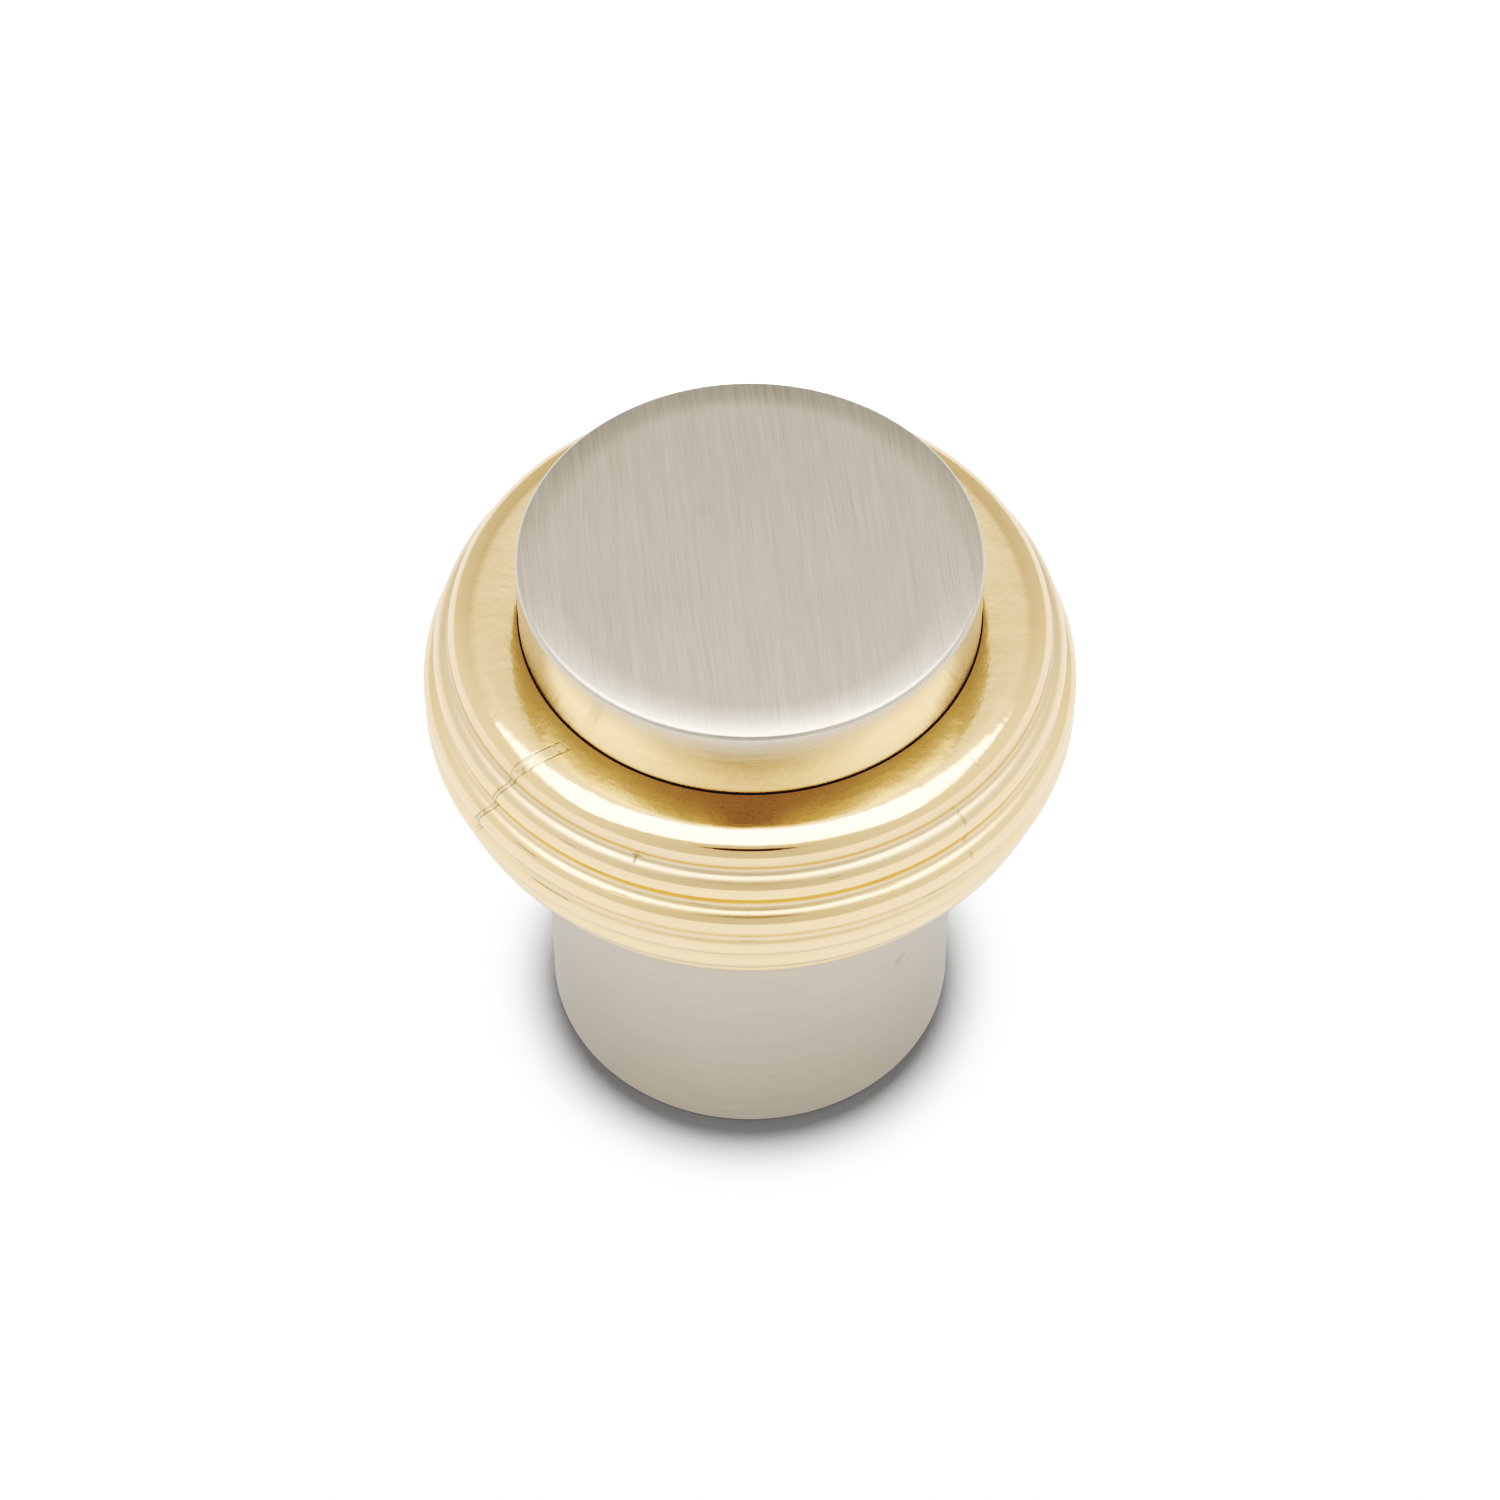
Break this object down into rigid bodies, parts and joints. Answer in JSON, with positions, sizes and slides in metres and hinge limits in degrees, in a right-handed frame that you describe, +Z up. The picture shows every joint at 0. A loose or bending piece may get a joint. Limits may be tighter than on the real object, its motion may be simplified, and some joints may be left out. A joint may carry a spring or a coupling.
{
  "type": "floor door holder",
  "caption": "Floor door holder: satin nickel post and screw-on head with a reeded polished brass bumper ring that turns freely and hides magnets.",
  "frame": {"origin": "centre of the underside, on the floor plane", "axes": "+Z up the post, the axis that every turned piece shares; the brazed seam of the ring lies between -X and -Y at rest, and nothing else marks a direction"},
  "size_m": [0.05, 0.05, 0.052],
  "materials": {
    "satin_nickel": "satin nickel plate, brushed round the sides and straight across the top",
    "polished_brass": "polished, lacquered",
    "zinc_steel": "bright zinc plate",
    "yoke_steel": "plain turned mild steel",
    "magnet_nickel": "bright nickel plate",
    "black_rubber": "matt",
    "gasket_rubber": "matt",
    "white_acetal": "turned, matt",
    "black_nylon": "moulded, matt"
  },
  "bodies": {
    "base": {"base_body": "satin_nickel", "floor_gasket": "gasket_rubber", "core_post": "zinc_steel", "head_o_ring": "black_rubber", "screw_collar": "black_nylon", "lower_thrust_washer": "white_acetal", "buffer_sleeve": "black_rubber"},
    "ring": {"reeded_ring": "polished_brass", "ring_base_cap": "polished_brass", "ring_bush": "white_acetal", "yoke_ring": "yoke_steel", "magnet_carrier": "black_nylon", "magnet_1": "magnet_nickel", "magnet_2": "magnet_nickel", "magnet_3": "magnet_nickel", "magnet_4": "magnet_nickel", "magnet_5": "magnet_nickel", "magnet_6": "magnet_nickel", "magnet_7": "magnet_nickel", "magnet_8": "magnet_nickel", "ring_screw_1": "zinc_steel", "ring_screw_2": "zinc_steel", "ring_screw_3": "zinc_steel", "ring_screw_4": "zinc_steel"},
    "head_washer": {"upper_thrust_washer": "white_acetal"},
    "head": {"head": "satin_nickel"},
    "floor_screw": {"floor_screw": "zinc_steel", "screw_washer": "zinc_steel"}
  },
  "joints": [
    {"name": "ring_spin", "type": "hinge", "parent": "base", "child": "ring", "pos_m": [0, 0, 0.0374], "axis": [0, 0, 1], "continuous": true},
    {"name": "head_lift", "type": "slide", "parent": "base", "child": "head_washer", "axis": [0, 0, 1], "range_m": [0, 0.0045]},
    {"name": "head_turn", "type": "hinge", "parent": "head_washer", "child": "head", "pos_m": [0, 0, 0.0427], "axis": [0, 0, 1], "range_deg": [0, 1081]},
    {"name": "screw_drive", "type": "slide", "parent": "base", "child": "floor_screw", "axis": [0, 0, 1], "range_m": [-0.0305, 0]}
  ],
  "couplings": [
    {"joint": "head_turn", "follows": "head_lift", "rad_per_m": 4188.8}
  ]
}
